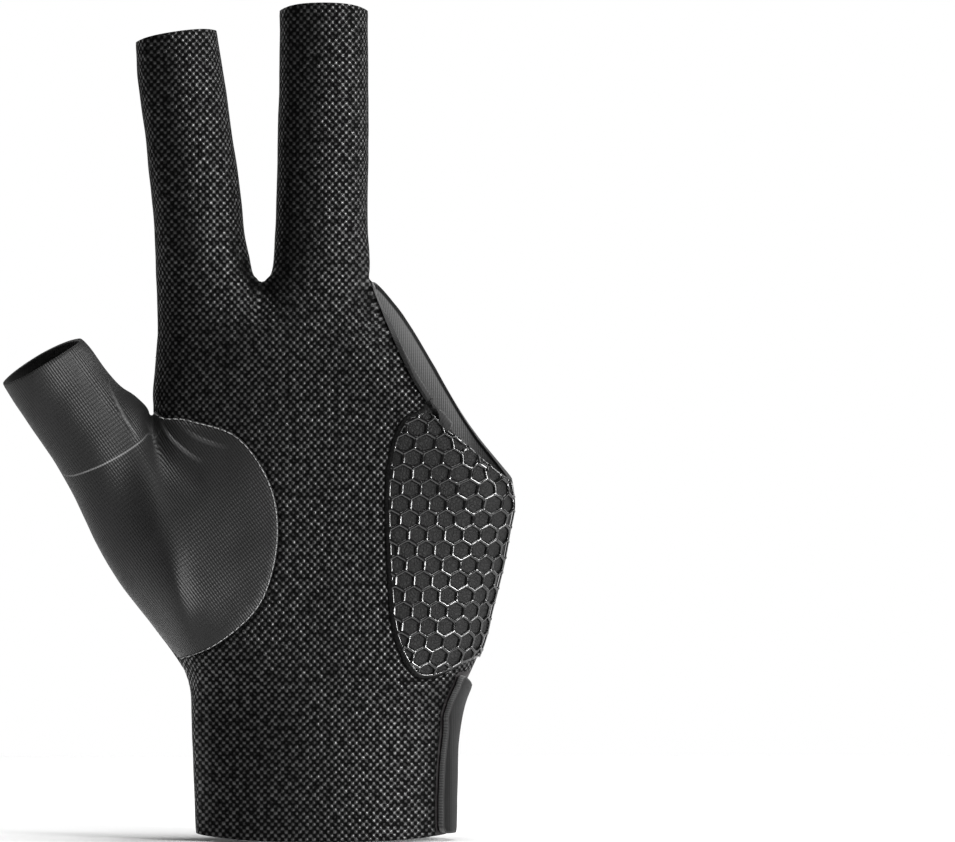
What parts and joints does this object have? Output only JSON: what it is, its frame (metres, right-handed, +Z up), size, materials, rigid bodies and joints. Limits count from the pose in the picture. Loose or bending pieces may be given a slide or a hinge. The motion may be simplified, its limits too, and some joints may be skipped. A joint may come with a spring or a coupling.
{
  "type": "billiard glove",
  "caption": "Left-hand billiard glove with open index, middle and thumb stalls, a side opening for the other fingers, a grip pad and a wrist strap.",
  "frame": {"origin": "middle of the wrist opening at its lower edge, where the hand goes in", "axes": "+Z up the hand to the fingertips, palm faces -Y, thumb towards -X"},
  "size_m": [0.1255, 0.0446, 0.2043],
  "materials": {
    "knit": "coarse raised knit",
    "lycra": "smooth stretch",
    "thumb_lycra": "fine twill",
    "pad_cloth": "matt",
    "silicone": "glossy",
    "strap_fabric": "matt"
  },
  "bodies": {
    "root": {"palm_panel": "knit", "back_panel": "lycra", "thumb_panel": "thumb_lycra", "grip_pad": "pad_cloth", "grip_net": "silicone", "wristband": "lycra", "strap": "strap_fabric"}
  },
  "joints": []
}
